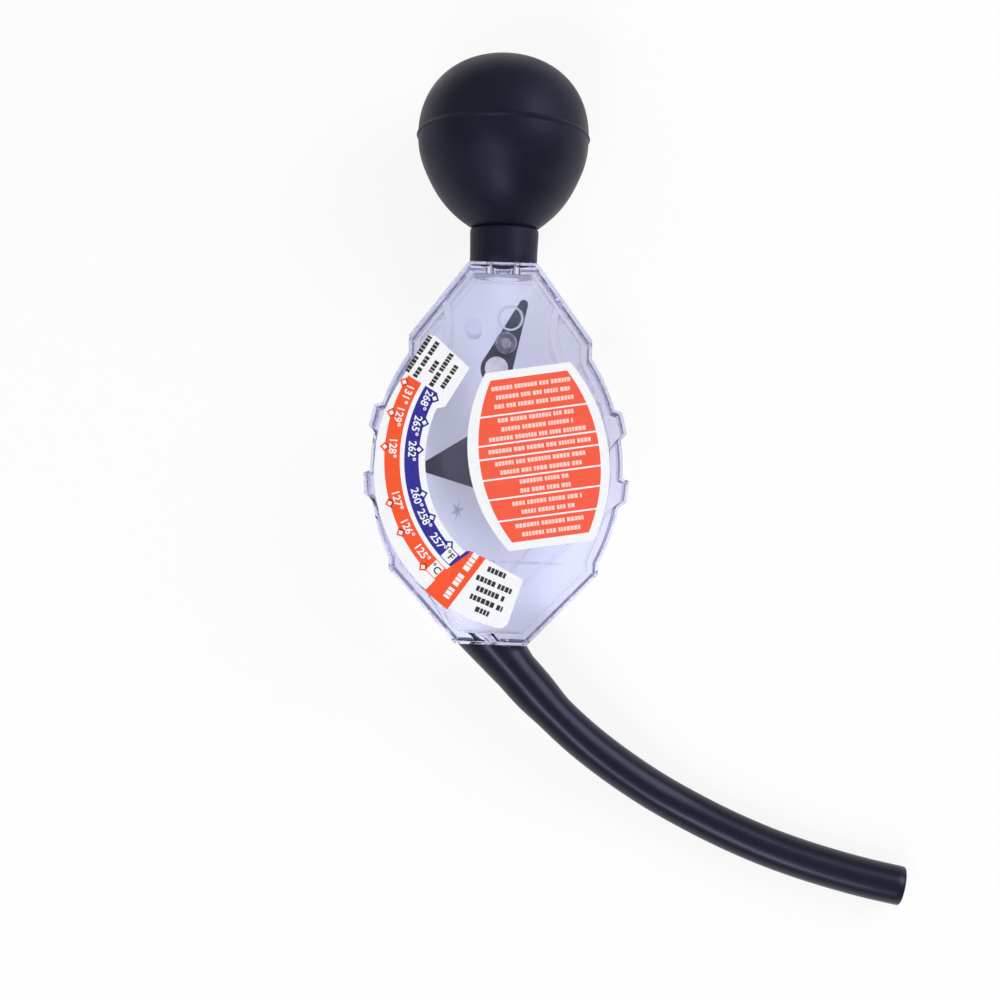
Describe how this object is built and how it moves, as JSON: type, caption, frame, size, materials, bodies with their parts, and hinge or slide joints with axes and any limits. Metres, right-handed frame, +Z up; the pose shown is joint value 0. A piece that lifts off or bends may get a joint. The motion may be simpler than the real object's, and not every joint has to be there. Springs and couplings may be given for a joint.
{
  "type": "antifreeze hydrometer",
  "caption": "Clear flat housing with a weighted float pointer behind a printed temperature scale, a level pointer, a rubber squeeze bulb on its neck and a suction hose.",
  "frame": {"origin": "on the table, under the middle of the object without its hose", "axes": "+Z up from the table, out of the dial face; +Y along the housing towards the bulb; +X to the right of someone who looks down on the dial with the bulb away from them, which is the side that the hose leaves to"},
  "size_m": [0.1012, 0.1536, 0.0317],
  "materials": {
    "bulb_rubber": "satin moulded black rubber",
    "clear_plastic": "clear moulded plastic with a faint violet tint",
    "pointer_plastic": "dark slate moulded plastic",
    "weight_brass": "turned brass",
    "weight_steel": "plated pale metal",
    "axle_steel": "ground steel wire",
    "scale_film": "white film printed in orange and blue",
    "advice_film": "white film printed in orange",
    "hose_rubber": "smooth extruded black rubber"
  },
  "bodies": {
    "housing": {"front_shell": "clear_plastic", "rear_shell": "clear_plastic", "scale_label": "scale_film", "advice_label": "advice_film", "float_axle": "axle_steel", "level_axle": "axle_steel", "suction_hose": "hose_rubber"},
    "bulb": {"squeeze_bulb": "bulb_rubber"},
    "pointer": {"float_pointer": "pointer_plastic", "float_weight": "weight_brass"},
    "pendulum": {"level_pointer": "pointer_plastic", "level_weight": "weight_steel"}
  },
  "joints": [
    {"name": "float_swing", "type": "hinge", "parent": "housing", "child": "pointer", "pos_m": [0.0092, -0.01527, 0.01205], "axis": [0, -0.0637, 0.998], "range_deg": [-33.5, 39.5]},
    {"name": "level_swing", "type": "hinge", "parent": "housing", "child": "pendulum", "pos_m": [0.001, 0.00558, 0.01338], "axis": [0, -0.0637, 0.998], "range_deg": [-15, 57]},
    {"name": "bulb_squeeze", "type": "slide", "parent": "housing", "child": "bulb", "axis": [0, -0.998, -0.0637], "range_m": [0, 0.009], "stiffness_N_per_m": 700, "deforming": ["squeeze_bulb"]}
  ]
}
